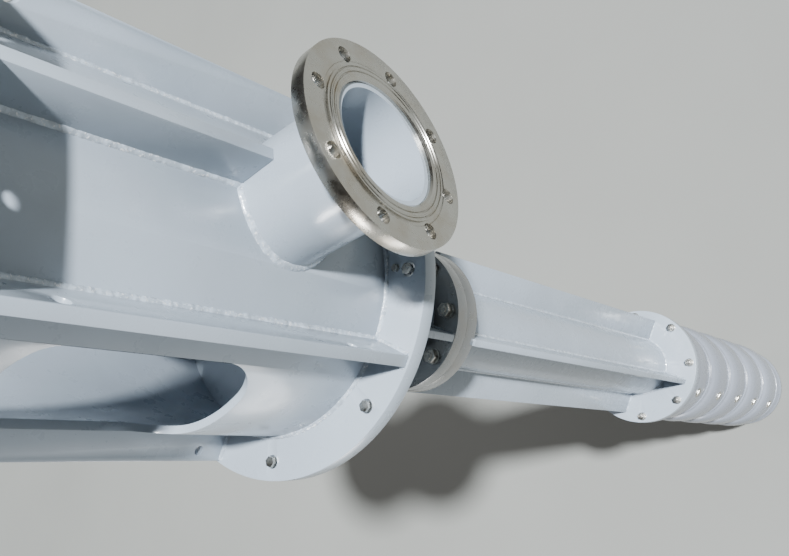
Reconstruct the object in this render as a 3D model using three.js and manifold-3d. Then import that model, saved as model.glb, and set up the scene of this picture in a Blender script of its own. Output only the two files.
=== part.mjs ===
// Vertical turbine pump with a fabricated discharge head, a finned column and
// five bowl stages. Millimetres, +Z up along the shaft, discharge toward +X.
// The origin lies on the underside of the base plate, on the side away from the
// discharge, so that it sits on solid plate. The shaft stands at x = AXIS_X.
import * as THREE from 'three';
import { mergeVertices } from 'three/addons/utils/BufferGeometryUtils.js';
import Module from 'manifold-3d';

// ---- driving dimensions ----------------------------------------------------
const GAP = 0.3;            // running clearance left between touching solids
const AXIS_X = 235;         // shaft axis, measured from the origin

const HEAD_TURN = 3.5;       // degrees, all head ribs, windows and bolt circles
const COLUMN_TURN = 7.5;    // degrees, all spool and column ribs and their bolts

const PLATE_R = 305;        // base plate, the face that rests on the foundation
const PLATE_T = 26;
const RELIEF_R = 170;       // the plate's middle is relieved, so only a ring bears
const RELIEF = 1;
const FLANGE_PCD_R = 275;   // bolt circle of base plate and motor flange
const BOLT_HOLE_R = 11;

const SHELL_R = 235;        // head shell, rolled to 470 mm
const SHELL_WALL = 12;
const HEAD_TOP = 670;       // underside of the motor flange
const MOTOR_FLANGE_R = 305;
const MOTOR_FLANGE_T = 26;
const MOTOR_BORE_R = 190;

const RIB_R = 302;          // tip radius of the four head ribs
const RIB_T = 18;
const RIB_ANGLES = [-45, -135, 135, 45];
const LIFTING_EYE = { z: 566, r: 284, radius: 12 };
const DRAIN_EYE = { z: 139, r: 288, radius: 8 };
const HEAD_RIB_EYES = [[LIFTING_EYE, DRAIN_EYE], [{ ...DRAIN_EYE, z: 78, r: 283 }], [LIFTING_EYE],
  [{ z: 582, r: 282, radius: 14 }]];

const NOZZLE_Z = 228;       // discharge axis above the base plate's underside
const NOZZLE_FACE = 410;    // sealing face from the shaft axis
const NOZZLE_FLANGE_R = 142.5;
const NOZZLE_FLANGE_T = 22;
const RAISED_FACE_R = 106;
const NOZZLE_PCD_R = 120;
const NOZZLE_RIB_R = 298;   // tip radius of the rib above the discharge

const PIPE_R = 84.15;       // 168.3 mm pipe of elbow, spool and column
const PIPE_WALL = 7.1;
const BEND_R = NOZZLE_Z - 31; // centre-line radius of the discharge elbow

const WINDOW = { z0: 220, z1: 566, halfWidth: 117, corner: 60, turn: 5 };   // turn: degrees, a little off the middle between the ribs

const SEAL_R = 52;          // seal housing above the elbow
const SEAL_TOP = 360;
const SHAFT_R = 22;
const SHAFT_TOP = 640;
const SHAFT_BOTTOM = -2575;

const JOINT_Z = -310;       // upper face of the flange pair below the spool
const JOINT_FLANGE_R = 142.5;
const JOINT_FLANGE_T = 32;
const JOINT_PCD_R = 118;
const COLUMN_RIB_R = 147;
const SPOOL_RIB_R = 142;
const COLUMN_RIB_T = 14;
const COLUMN_END_Z = -1532; // upper face of the flange on the column's lower end
const COLUMN_END_R = 170;
const COLUMN_END_PCD_R = 152;
const COLUMN_END_T = 24;

const BOWL_COUNT = 5;
const BOWL_PITCH = 196;
const BOWL_JOINT_R = 140;   // radius at the seams
const BOWL_BULGE_R = 158;   // radius at the widest part of a bowl
const BOWL_PROFILE = [[0, BOWL_JOINT_R], [0.16, 147.5], [0.38, 155], [0.62, BOWL_BULGE_R], [0.82, 157], [0.93, 151], [1, BOWL_JOINT_R]];   // [share of the height, radius], a long taper up to a short shoulder
const BOWL_WALL = 11;
const PASSAGE = 40;         // width of the water passage between a bowl's case and hub
const HUB_R = 40;           // tail bearing hub in the suction bell
const VANE_COUNT = 4;
const VANE_T = 10;
const BELL_LENGTH = 60;
const BELL_R = 146;

// ---- colours ---------------------------------------------------------------
const PAINT = 0xc3ccd6, BRIGHT = 0xb9b7ae, CAST = 0xb4b8c2, STEEL = 0x9aa0a6, DARK = 0x4a4d50;
const paint = () => new THREE.MeshStandardMaterial({ color: PAINT, roughness: 0.35, metalness: 0.25 });
const bright = () => new THREE.MeshStandardMaterial({ color: BRIGHT, roughness: 0.25, metalness: 0.9 });
const cast = () => new THREE.MeshStandardMaterial({ color: CAST, roughness: 0.45, metalness: 0.25 });
const steel = () => new THREE.MeshStandardMaterial({ color: STEEL, roughness: 0.3, metalness: 0.9 });
const dark = () => new THREE.MeshStandardMaterial({ color: DARK, roughness: 0.6, metalness: 0.2 });

// ---- solid helpers ---------------------------------------------------------
const wasm = await Module();
wasm.setup();

function solid(geometry) {
  let g = geometry.clone();
  for (const name of Object.keys(g.attributes)) if (name !== 'position') g.deleteAttribute(name);
  g = mergeVertices(g, 1e-4);
  return new wasm.Manifold(new wasm.Mesh({
    numProp: 3,
    vertProperties: new Float32Array(g.attributes.position.array),
    triVerts: new Uint32Array(g.index.array),
  }));
}

function geometryOf(manifold) {
  const mesh = manifold.getMesh();
  const g = new THREE.BufferGeometry();
  g.setAttribute('position', new THREE.BufferAttribute(new Float32Array(mesh.vertProperties), 3));
  g.setIndex(new THREE.BufferAttribute(new Uint32Array(mesh.triVerts), 1));
  g.computeVertexNormals();
  return g;
}

const cut = (body, ...tools) => geometryOf(tools.reduce((s, t) => s.subtract(solid(t)), solid(body)));

// Points of a circle, anticlockwise.
const circle = (x, y, r, n) => Array.from({ length: n }, (_, i) =>
  new THREE.Vector2(x + r * Math.cos(i * 2 * Math.PI / n), y + r * Math.sin(i * 2 * Math.PI / n)));

// A disc or ring with round holes, its lower face at z.
function disc(radius, bore, thickness, z, holes = [], segments = 48) {
  const shape = new THREE.Shape(circle(0, 0, radius, segments));
  if (bore) shape.holes.push(new THREE.Path(circle(0, 0, bore, segments).reverse()));
  for (const h of holes) shape.holes.push(new THREE.Path(circle(h.x, h.y, h.r, 12).reverse()));
  return new THREE.ExtrudeGeometry(shape, { depth: thickness, bevelEnabled: false, steps: 1 }).translate(0, 0, z);
}

function boltCircle(count, pcdRadius, holeRadius, startDegrees) {
  return Array.from({ length: count }, (_, i) => {
    const a = THREE.MathUtils.degToRad(startDegrees + i * 360 / count);
    return { x: pcdRadius * Math.cos(a), y: pcdRadius * Math.sin(a), r: holeRadius };
  });
}

// A body of revolution about Z from [radius, z] pairs.
function turned(points, segments = 64) {
  return new THREE.LatheGeometry(points.map(([r, z]) => new THREE.Vector2(r, z)), segments).rotateX(Math.PI / 2);
}

const tube = (outer, inner, z0, z1, segments = 64) =>
  turned([[inner, z0], [outer, z0], [outer, z1], [inner, z1], [inner, z0]], segments);

const rod = (radius, z0, z1, segments = 32) =>
  new THREE.CylinderGeometry(radius, radius, z1 - z0, segments).rotateX(Math.PI / 2).translate(0, 0, (z0 + z1) / 2);

const rodX = (radius, x0, x1, z, segments = 48) =>
  new THREE.CylinderGeometry(radius, radius, x1 - x0, segments).rotateZ(Math.PI / 2).translate((x0 + x1) / 2, 0, z);

// A flat radial plate from radius r0 to r1, with round eyes, turned to its angle.
function rib(r0, r1, z0, z1, thickness, degrees, eyes = [], chamfer = 0) {
  const s = new THREE.Shape();
  s.moveTo(r0, z0); s.lineTo(r1, z0); s.lineTo(r1, z1 - chamfer);
  if (chamfer) s.lineTo(r1 - chamfer, z1);
  s.lineTo(r0, z1); s.lineTo(r0, z0);
  for (const e of eyes) s.holes.push(new THREE.Path(circle(e.r, e.z, e.radius, 16).reverse()));
  return new THREE.ExtrudeGeometry(s, { depth: thickness, bevelEnabled: false })
    .translate(0, 0, -thickness / 2).rotateX(Math.PI / 2)
    .rotateZ(THREE.MathUtils.degToRad(degrees));
}

// The pipe run of the discharge: up from the plate, a quarter bend, out along +X.
function elbow(outer, inner, xEnd) {
  const z0 = PLATE_T + GAP, zBend = NOZZLE_Z - BEND_R;
  const bend = Array.from({ length: 11 }, (_, i) => {
    const a = (i / 10) * Math.PI / 2;
    return new THREE.Vector3(BEND_R * (1 - Math.cos(a)), 0, zBend + BEND_R * Math.sin(a));
  });
  const stations = [new THREE.Vector3(0, 0, z0), ...bend, new THREE.Vector3(xEnd, 0, NOZZLE_Z)];
  return sweep(stations, outer, inner);
}

// A round tube (or a solid rod when inner is 0) through the stations, which lie in the XZ plane.
function sweep(stations, outer, inner, segments = 24) {
  const n = stations.length, rings = [];
  for (let i = 0; i < n; i++) {
    const back = stations[Math.max(i - 1, 0)], on = stations[Math.min(i + 1, n - 1)];
    const dir = on.clone().sub(back).normalize();
    const side = new THREE.Vector3(0, 1, 0), up = dir.clone().cross(side).normalize();
    rings.push({ at: stations[i], side, up });
  }
  const vertex = [], index = [];
  const addRing = (radius, i) => {
    const { at, side, up } = rings[i], base = vertex.length / 3;
    for (let k = 0; k < segments; k++) {
      const a = k * 2 * Math.PI / segments;
      const p = at.clone().addScaledVector(side, radius * Math.cos(a)).addScaledVector(up, radius * Math.sin(a));
      vertex.push(p.x, p.y, p.z);
    }
    return base;
  };
  const skin = (a, b, flip) => {
    for (let k = 0; k < segments; k++) {
      const m = (k + 1) % segments, quad = [a + k, a + m, b + m, b + k];
      if (flip) quad.reverse();
      index.push(quad[0], quad[1], quad[2], quad[0], quad[2], quad[3]);
    }
  };
  const out = rings.map((_, i) => addRing(outer, i));
  for (let i = 0; i + 1 < n; i++) skin(out[i], out[i + 1], false);
  if (inner > 0) {
    const bore = rings.map((_, i) => addRing(inner, i));
    for (let i = 0; i + 1 < n; i++) skin(bore[i], bore[i + 1], true);
    skin(bore[0], out[0], false);
    skin(out[n - 1], bore[n - 1], false);
  } else {
    for (const [i, flip] of [[0, true], [n - 1, false]]) {
      const c = vertex.length / 3; vertex.push(stations[i].x, stations[i].y, stations[i].z);
      for (let k = 0; k < segments; k++) {
        const m = (k + 1) % segments;
        if (flip) index.push(c, out[i] + m, out[i] + k); else index.push(c, out[i] + k, out[i] + m);
      }
    }
  }
  const g = new THREE.BufferGeometry();
  g.setAttribute('position', new THREE.Float32BufferAttribute(vertex, 3));
  g.setIndex(index);
  return g;
}

// A rounded rectangle extruded along Y, for the windows in the shell.
function windowTool(side) {
  const { z0, z1, halfWidth: w, corner: c } = WINDOW;
  const s = new THREE.Shape();
  s.moveTo(-w + c, z0); s.lineTo(w - c, z0); s.absarc(w - c, z0 + c, c, -Math.PI / 2, 0, false);
  s.lineTo(w, z1 - c); s.absarc(w - c, z1 - c, c, 0, Math.PI / 2, false);
  s.lineTo(-w + c, z1); s.absarc(-w + c, z1 - c, c, Math.PI / 2, Math.PI, false);
  s.lineTo(-w, z0 + c); s.absarc(-w + c, z0 + c, c, Math.PI, Math.PI * 1.5, false);
  return new THREE.ExtrudeGeometry(s, { depth: 300, bevelEnabled: false, curveSegments: 4 })
    .rotateX(Math.PI / 2).translate(0, side > 0 ? 350 : -50, 0)
    .rotateZ(THREE.MathUtils.degToRad(WINDOW.turn));
}

// ---- assembly --------------------------------------------------------------
const pump = new THREE.Group();
pump.position.set(AXIS_X, 0, 0);
const root = new THREE.Group();
root.add(pump);

function add(name, geometry, material) {
  const mesh = new THREE.Mesh(geometry, material);
  mesh.name = name;
  pump.add(mesh);
  return mesh;
}

// Discharge head
const wideHoles = boltCircle(8, FLANGE_PCD_R, BOLT_HOLE_R, 22.5 + HEAD_TURN);
add('motor_flange', disc(MOTOR_FLANGE_R, MOTOR_BORE_R, MOTOR_FLANGE_T, HEAD_TOP, wideHoles), paint());
const plate = turned([[PIPE_R - PIPE_WALL, RELIEF], [RELIEF_R, RELIEF], [RELIEF_R, 0], [PLATE_R, 0], [PLATE_R, PLATE_T],
  [PIPE_R - PIPE_WALL, PLATE_T], [PIPE_R - PIPE_WALL, RELIEF]], 48);
const plateHoles = boltCircle(8, FLANGE_PCD_R, BOLT_HOLE_R, 22.5 + COLUMN_TURN);
add('base_plate', cut(plate, ...plateHoles.map(h => rod(h.r, -10, 50, 12).translate(h.x, h.y, 0))), paint());

const shell = tube(SHELL_R, SHELL_R - SHELL_WALL, PLATE_T + GAP, HEAD_TOP - GAP, 56);
const windowed = solid(cut(shell, windowTool(-1), windowTool(1),
  rodX(PIPE_R + GAP, 100, 300, NOZZLE_Z, 40)));
// The windowed pipe in four pieces: a ring below and a ring above with the windows' corners, and the two cheeks between the windows.
const shellPiece = (z0, z1, x0, x1) => geometryOf(windowed.intersect(solid(
  new THREE.BoxGeometry(x1 - x0, 2 * SHELL_R + 20, z1 - z0).translate((x0 + x1) / 2, 0, (z0 + z1) / 2))));
const cheekLow = WINDOW.z0 + WINDOW.corner, cheekHigh = WINDOW.z1 - WINDOW.corner, wide = SHELL_R + 10;
add('head_shell_lower', shellPiece(0, cheekLow, -wide, wide), paint());
add('head_cheek_front', shellPiece(cheekLow + GAP, cheekHigh - GAP, 0, wide), paint());
add('head_cheek_back', shellPiece(cheekLow + GAP, cheekHigh - GAP, -wide, 0), paint());
add('head_shell_upper', shellPiece(cheekHigh, HEAD_TOP, -wide, wide), paint());

RIB_ANGLES.forEach((angle, i) => add(`head_rib_${i + 1}`,
  rib(SHELL_R + GAP, RIB_R, PLATE_T + GAP, HEAD_TOP - GAP, RIB_T, angle + HEAD_TURN, HEAD_RIB_EYES[i]), paint()));
add('nozzle_rib', cut(rib(SHELL_R + GAP, NOZZLE_RIB_R, NOZZLE_Z + 60, HEAD_TOP - GAP, RIB_T, HEAD_TURN),
  rodX(PIPE_R + GAP, 200, 350, NOZZLE_Z, 48)), paint());

const elbowPipe = elbow(PIPE_R, PIPE_R - PIPE_WALL, NOZZLE_FACE - 6);
add('discharge_elbow', cut(elbowPipe, rod(SHAFT_R + 8, 120, 300)), paint());
add('discharge_flange', (() => {
  const f = turned([
    [PIPE_R + GAP, 0], [NOZZLE_FLANGE_R, 0], [NOZZLE_FLANGE_R, NOZZLE_FLANGE_T - 2], [RAISED_FACE_R, NOZZLE_FLANGE_T - 2],
    [RAISED_FACE_R, NOZZLE_FLANGE_T], [PIPE_R + GAP, NOZZLE_FLANGE_T], [PIPE_R + GAP, 0]], 40);
  const holes = boltCircle(8, NOZZLE_PCD_R, BOLT_HOLE_R, 22.5)
    .map(h => rod(h.r, -10, 40, 12).translate(h.x, h.y, 0));
  return cut(f, ...holes).rotateY(Math.PI / 2).translate(NOZZLE_FACE - NOZZLE_FLANGE_T, 0, NOZZLE_Z);
})(), bright());

// Shaft seal above the elbow, and the shaft
const elbowSolid = elbow(PIPE_R + GAP, 0, NOZZLE_FACE);
add('seal_housing', (() => {
  const body = solid(tube(SEAL_R, SHAFT_R + 8, 150, SEAL_TOP, 28)).subtract(solid(elbowSolid));
  return geometryOf(body.decompose().sort((a, b) => b.volume() - a.volume())[0]);
})(), paint());
add('seal_flange', disc(SEAL_R + 28, SHAFT_R + GAP, 18, SEAL_TOP + GAP, boltCircle(4, SEAL_R + 14, 6, 45), 28), steel());
add('seal_gland', tube(SHAFT_R + 16, SHAFT_R + GAP, SEAL_TOP + 18 + 2 * GAP, SEAL_TOP + 44, 24), steel());
add('shaft_coupling', tube(SHAFT_R + 15, SHAFT_R + GAP, 470, 600, 24), steel());
add('line_shaft', rod(SHAFT_R, SHAFT_BOTTOM, SHAFT_TOP, 24), steel());

// Spool below the base plate
add('spool_pipe', tube(PIPE_R, PIPE_R - PIPE_WALL, JOINT_Z + GAP, RELIEF - GAP, 32), paint());
RIB_ANGLES.forEach((angle, i) => add(`spool_rib_${i + 1}`,
  rib(PIPE_R + GAP, SPOOL_RIB_R, JOINT_Z + GAP, RELIEF - GAP, COLUMN_RIB_T, angle + COLUMN_TURN), paint()));
const jointHoles = boltCircle(8, JOINT_PCD_R, BOLT_HOLE_R, 22.5 + COLUMN_TURN);
add('spool_flange', disc(JOINT_FLANGE_R, PIPE_R - PIPE_WALL, JOINT_FLANGE_T, JOINT_Z - JOINT_FLANGE_T, jointHoles, 36), bright());

// Finned column
const columnTop = JOINT_Z - JOINT_FLANGE_T - GAP;
add('column_top_flange', disc(JOINT_FLANGE_R, PIPE_R - PIPE_WALL, JOINT_FLANGE_T, columnTop - JOINT_FLANGE_T, jointHoles, 36), bright());
const finTop = columnTop - JOINT_FLANGE_T - GAP, finBottom = COLUMN_END_Z + GAP;
add('column_pipe', tube(PIPE_R, PIPE_R - PIPE_WALL, finBottom, finTop, 32), paint());
RIB_ANGLES.forEach((angle, i) => add(`column_rib_${i + 1}`,
  rib(PIPE_R + GAP, COLUMN_RIB_R, finBottom, finTop, COLUMN_RIB_T, angle + COLUMN_TURN), paint()));
add('column_end_flange', disc(COLUMN_END_R, PIPE_R - PIPE_WALL, COLUMN_END_T, COLUMN_END_Z - COLUMN_END_T,
  boltCircle(8, COLUMN_END_PCD_R, 9, 22.5 + COLUMN_TURN), 40), paint());

// Joins a hub and its radial vanes to the wall of a case.
function withVanes(shellGeometry, hub, hubR, z0, z1, reach) {
  let body = solid(shellGeometry).add(solid(hub));
  for (let k = 0; k < VANE_COUNT; k++) {
    const vane = new THREE.BoxGeometry(reach - hubR + 6, VANE_T, z1 - z0)
      .translate((reach + hubR) / 2, 0, (z0 + z1) / 2).rotateZ(k * 2 * Math.PI / VANE_COUNT);
    body = body.add(solid(vane));
  }
  return geometryOf(body);
}

// Bowls: an outer case that narrows to its seams, and a hub that follows it and fills the middle
const bowlsTop = COLUMN_END_Z - COLUMN_END_T - GAP;
function bowl(index) {
  const z1 = bowlsTop - index * BOWL_PITCH, z0 = z1 - BOWL_PITCH + GAP, h = z1 - z0;
  const outer = [], inner = [], core = [];
  for (const [t, r] of BOWL_PROFILE) {
    outer.push([r, z0 + t * h]);
    inner.push([r - BOWL_WALL, z0 + t * h]);
    core.push([r - BOWL_WALL - PASSAGE, z0 + 8 + t * (h - 16)]);
  }
  if (index === 0) outer.splice(5, 2, [BOWL_BULGE_R - 4, z1 - 20], [COLUMN_END_R - 2, z1 - 20], [COLUMN_END_R - 2, z1]);
  const bore = SHAFT_R + GAP;
  const hub = turned([[bore, z0 + 8], ...core, [bore, z1 - 8], [bore, z0 + 8]], 24);
  return withVanes(turned([...outer, ...inner.reverse(), outer[0]], 28), hub, BOWL_BULGE_R - BOWL_WALL - PASSAGE - 8,
    z0 + 50, z0 + 130, BOWL_BULGE_R - BOWL_WALL - 4);
}
for (let i = 0; i < BOWL_COUNT; i++) add(`bowl_${i + 1}`, bowl(i), cast());

// Suction bell with the vanes and hub that carry the tail bearing
const bellTop = bowlsTop - BOWL_COUNT * BOWL_PITCH;
add('suction_bell', withVanes(turned([[BOWL_JOINT_R - 11, bellTop], [BOWL_JOINT_R - 28, bellTop - 26], [BELL_R - 16, bellTop - BELL_LENGTH],
  [BELL_R, bellTop - BELL_LENGTH], [BELL_R, bellTop - BELL_LENGTH + 14], [BOWL_JOINT_R, bellTop], [BOWL_JOINT_R - 11, bellTop]], 28),
  tube(HUB_R, SHAFT_R + GAP, bellTop - BELL_LENGTH + 6, bellTop - 6, 24), HUB_R, bellTop - BELL_LENGTH + 6, bellTop - 6, BOWL_JOINT_R - 13), cast());

export default root;
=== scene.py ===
"""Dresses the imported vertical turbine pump: turned and welded pieces, paint, bolts and a plain studio.

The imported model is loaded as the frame, and every piece rides on its one body, root.
"""

import math

import bmesh
import bpy
from mathutils import Euler, Matrix, Vector, noise


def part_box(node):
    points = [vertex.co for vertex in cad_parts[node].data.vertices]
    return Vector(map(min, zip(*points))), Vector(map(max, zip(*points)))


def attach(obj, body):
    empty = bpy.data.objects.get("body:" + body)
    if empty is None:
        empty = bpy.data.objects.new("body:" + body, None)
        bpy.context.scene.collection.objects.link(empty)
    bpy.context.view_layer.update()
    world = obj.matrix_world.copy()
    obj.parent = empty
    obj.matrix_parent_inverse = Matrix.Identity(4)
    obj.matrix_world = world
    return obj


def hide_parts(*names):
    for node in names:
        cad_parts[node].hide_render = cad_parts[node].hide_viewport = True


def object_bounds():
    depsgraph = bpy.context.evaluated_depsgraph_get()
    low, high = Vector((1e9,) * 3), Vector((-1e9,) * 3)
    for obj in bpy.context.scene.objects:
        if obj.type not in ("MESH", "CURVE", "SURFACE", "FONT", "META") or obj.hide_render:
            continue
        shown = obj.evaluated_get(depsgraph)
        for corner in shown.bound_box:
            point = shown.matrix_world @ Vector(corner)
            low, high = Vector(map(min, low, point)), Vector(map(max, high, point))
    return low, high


bl_info = {
    "name": "Vertical Turbine Pump",
    "version": (1, 0, 0),
    "blender": (4, 5, 0),
    "location": "View3D > Sidebar > Pump",
    "description": "Finished pieces, welds, fasteners and studio for a vertical turbine pump",
    "category": "Add Mesh",
}

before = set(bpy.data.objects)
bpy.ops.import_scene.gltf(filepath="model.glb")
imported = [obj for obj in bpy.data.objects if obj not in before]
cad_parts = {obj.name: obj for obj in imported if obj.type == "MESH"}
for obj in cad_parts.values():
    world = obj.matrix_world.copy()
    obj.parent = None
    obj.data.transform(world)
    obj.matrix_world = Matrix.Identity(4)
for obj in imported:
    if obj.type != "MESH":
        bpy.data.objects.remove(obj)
CAD_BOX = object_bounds()
MM = 0.001
UP = Vector((0, 0, 1))
OUT = Vector((1, 0, 0))


def low_high(node, axis):
    """Lowest and highest coordinate of a CAD node along x, y or z."""
    low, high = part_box(node)
    return low["xyz".index(axis)], high["xyz".index(axis)]


def radius_of(node):
    """Outer radius of a CAD node that is round about the shaft."""
    low, high = low_high(node, "y")
    return (high - low) / 2


# Places and sizes read from the frame
AXIS_X = sum(low_high("line_shaft", "x")) / 2
PLATE_LOW, PLATE_TOP = low_high("base_plate", "z")
PLATE_R = radius_of("base_plate")
FLANGE_LOW, HEAD_END = low_high("motor_flange", "z")
SHELL_LOW, SHELL_HIGH = low_high("head_shell_lower", "z")[0], low_high("head_shell_upper", "z")[1]
SHELL_R = radius_of("head_shell_lower")
PIPE_R = radius_of("column_pipe")
NOZZLE_BACK, NOZZLE_FACE = low_high("discharge_flange", "x")
NOZZLE_Z = sum(low_high("discharge_flange", "z")) / 2
NOZZLE_R = radius_of("discharge_flange")
END_HIGH = low_high("column_end_flange", "z")[1]
SHELL_NODES = ["head_shell_lower", "head_cheek_front", "head_cheek_back", "head_shell_upper"]
BOWL_NODES = [f"bowl_{i}" for i in range(1, 6)]

# Sizes the CAD source states and a box doesn't show
GAP = 0.3 * MM
SHELL_WALL = 12 * MM
PIPE_WALL = 7.1 * MM
PIPE_BORE = PIPE_R - PIPE_WALL
SHAFT_R, SHAFT_END, SHAFT_STEP = 22 * MM, 60 * MM, 2 * MM
SHAFT_HOLE_R = 30 * MM
COUPLING_END, COUPLING_WAIST = 25 * MM, 3 * MM
SEAL_R, SEAL_CIRCLE, SEAL_STUD_R = 52 * MM, 66 * MM, 6 * MM
RELIEF_R, RELIEF = 170 * MM, 1 * MM
MOTOR_BORE_R = 190 * MM
WIDE_CIRCLE, JOINT_CIRCLE, NOZZLE_CIRCLE, END_CIRCLE = 275 * MM, 118 * MM, 120 * MM, 152 * MM
BOLT_HOLE_R, END_HOLE_R = 11 * MM, 9 * MM

# Angles are in degrees from the way that the discharge points.
HEAD_TURN, COLUMN_TURN = 3.5, 7.5
RIB_ANGLES = (-45, -135, 135, 45)
HEAD_RIB_R, HEAD_RIB_T = 302 * MM, 18 * MM
NOZZLE_RIB_R, NOZZLE_RIB_RISE = 298 * MM, 60 * MM
COLUMN_RIB_R, SPOOL_RIB_R, COLUMN_RIB_T = 147 * MM, 142 * MM, 14 * MM

# Each eye of a rib is (distance from the shaft, height, radius).
LIFTING_EYE, DRAIN_EYE = (284 * MM, 566 * MM, 12 * MM), (288 * MM, 139 * MM, 8 * MM)
LOW_EYE, WIDE_EYE = (283 * MM, 78 * MM, 8 * MM), (282 * MM, 582 * MM, 14 * MM)
RIB_EYES = ((LIFTING_EYE, DRAIN_EYE), (LOW_EYE,), (LIFTING_EYE,), (WIDE_EYE,))

WINDOW_LOW, WINDOW_HIGH, WINDOW_HALF = 220 * MM, 566 * MM, 117 * MM
WINDOW_CORNER, WINDOW_TURN = 60 * MM, 5
WINDOW_DEPTH, WINDOW_AWAY = 300 * MM, 200 * MM

BEND_LOW = 31 * MM
BEND_R = NOZZLE_Z - BEND_LOW
RAISED_R, RAISED_STEP = 106 * MM, 2 * MM
GUTTER_WIDTH, GUTTER_DEPTH = 6 * MM, 1 * MM
FACE_RINGS, FACE_RINGS_APART = (103.5 * MM, 96.5 * MM), 7 * MM
RING_SLOPE, RING_FLAT, RING_DEPTH = 0.8 * MM, 1 * MM, 1.5 * MM
GROOVE_DEPTH = 0.35 * MM
MOUTH_WIDTH, MOUTH_DEPTH = 3.2 * MM, 2.6 * MM

BOWL_WALL, BOWL_SEAM_R, PASSAGE = 11 * MM, 140 * MM, 40 * MM
# How far down a bowl, from 0 to 1, and its outer radius there in millimetres.
BOWL_PROFILE = ((0, 140), (0.16, 147.5), (0.38, 155), (0.62, 158), (0.82, 157), (0.93, 151), (1, 140))
BOWL_FLANGE_T = 22 * MM
HUB_INSET, VANE_T = 8 * MM, 10 * MM
VANE_LOW, VANE_HIGH = 50 * MM, 130 * MM
LIP_PROUD, LIP_SUNK, LIP_T, LIP_INSET = 5 * MM, 2 * MM, 7 * MM, 1.5 * MM
PLUG_ANGLE, PLUG_DROP, PLUG_BOSS_R = -46, 0.42, 15 * MM
# The bell's throat as (mm inside the seam's radius, mm below the seam).
BELL_THROAT = ((11, 0), (23, 12), (28, 26), (24, 40))
BELL_LIP, BELL_HUB_R, BELL_HUB_INSET = 14 * MM, 40 * MM, 6 * MM

# Fasteners as (width across flats, height, reach of the stud past the nut).
JOINT_BOLT, JOINT_NUT = (24 * MM, 13 * MM, 5 * MM), (24 * MM, 13 * MM, 9 * MM)
SEAL_NUT, END_NUT = (17 * MM, 9 * MM, 16 * MM), (19 * MM, 10 * MM, 6 * MM)
PLATE_SCREW, SMALL_SCREW, PLUG_HEAD = (16 * MM, 9 * MM), (11 * MM, 6 * MM), (20 * MM, 4 * MM)
SCREW_SUNK, SMALL_SCREW_ANGLE, SMALL_SCREW_INSET = 2 * MM, -14, 22 * MM

# Shares of the width across flats, and the washer's own thickness and seat.
WASHER_SHARE, STUD_SHARE = 0.62, 0.31
WASHER_T, WASHER_SEAT, NUT_CHAMFER = 2.2 * MM, 2.0 * MM, 1.2 * MM

# Bars that cut: how far they reach past a face, or where they start and end.
PLATE_REACH, FLANGE_REACH, FACE_REACH, EYE_REACH = 50 * MM, 20 * MM, 50 * MM, 30 * MM
BASE_DRILL, SHAFT_DRILL = (-50 * MM, 80 * MM), (120 * MM, 300 * MM)
SHELL_PIPE, RIB_PIPE = (100 * MM, 300 * MM), (150 * MM, 380 * MM)

# The studio
FLOOR_Z, FLOOR_R = CAD_BOX[0].z - 2 * MM, 40
KEY_FROM = (0.497, -0.052, 0.866)
KEY_COLOUR, BACKDROP_COLOUR = (0.93, 0.97, 1.0), (1.0, 0.97, 0.92, 1)
# Softboxes as (name, place, target, width in metres, watts).
SOFTBOXES = (
    ("column_side", (-0.8, -2.6, -1.7), (0.2, 0.0, -1.3), 1.2, 30),
    ("back", (-2.8, 1.6, 0.6), (0.2, 0.0, -0.8), 2.2, 80),
)
SPOT_PLACE, SPOT_TARGET = (-1.0, -2.3, 0.45), (0.22, -0.15, 0.40)
SPOT_POWER, SPOT_RADIUS, SPOT_CONE, SPOT_BLEND = 170, 0.25, math.radians(21), 0.35
CAMERA_PLACE = (1.1065, -0.5065, 0.9815)
CAMERA_TURN = (11.931, 40.483, -15.081)
CAMERA_SHIFT = (0.06, 0.0)
CAMERA_CLIP = (0.02, 200)
SENSOR_WIDTH = 36


def radial(degrees):
    """Unit vector away from the shaft at an angle."""
    return Vector((math.cos(math.radians(degrees)), math.sin(math.radians(degrees)), 0))


def shaft_point(radius, degrees, z):
    """The point at a radius and an angle about the shaft."""
    a = math.radians(degrees)
    return Vector((AXIS_X + radius * math.cos(a), radius * math.sin(a), z))


def eighths(turn):
    """Angles of eight bolts, turned from the middle between the axes."""
    return [22.5 + turn + 45 * k for k in range(8)]


# Settings
class PumpShapeSettings(bpy.types.PropertyGroup):
    """Sizes that finish the plates, welds and turned pieces."""

    round_steps: bpy.props.IntProperty(
        name="Round Steps", description="Faces round a large turned piece",
        default=144, min=24, max=256)
    edge: bpy.props.FloatProperty(
        name="Edge Rounding", description="Rounding of plate edges",
        default=1.4 * MM, unit="LENGTH")
    head_weld: bpy.props.FloatProperty(
        name="Head Weld Leg", description="Leg of the fillet welds on the head",
        default=5.2 * MM, unit="LENGTH")
    column_weld: bpy.props.FloatProperty(
        name="Column Weld Leg", description="Leg of the fillet welds on the column",
        default=4.2 * MM, unit="LENGTH")
    ripple: bpy.props.FloatProperty(
        name="Weld Ripple", description="Distance between the ripples of a weld",
        default=3.4 * MM, unit="LENGTH")
    groove_pitch: bpy.props.FloatProperty(
        name="Groove Pitch", description="Distance between the turned grooves of the discharge face",
        default=1.6 * MM, unit="LENGTH")


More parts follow.
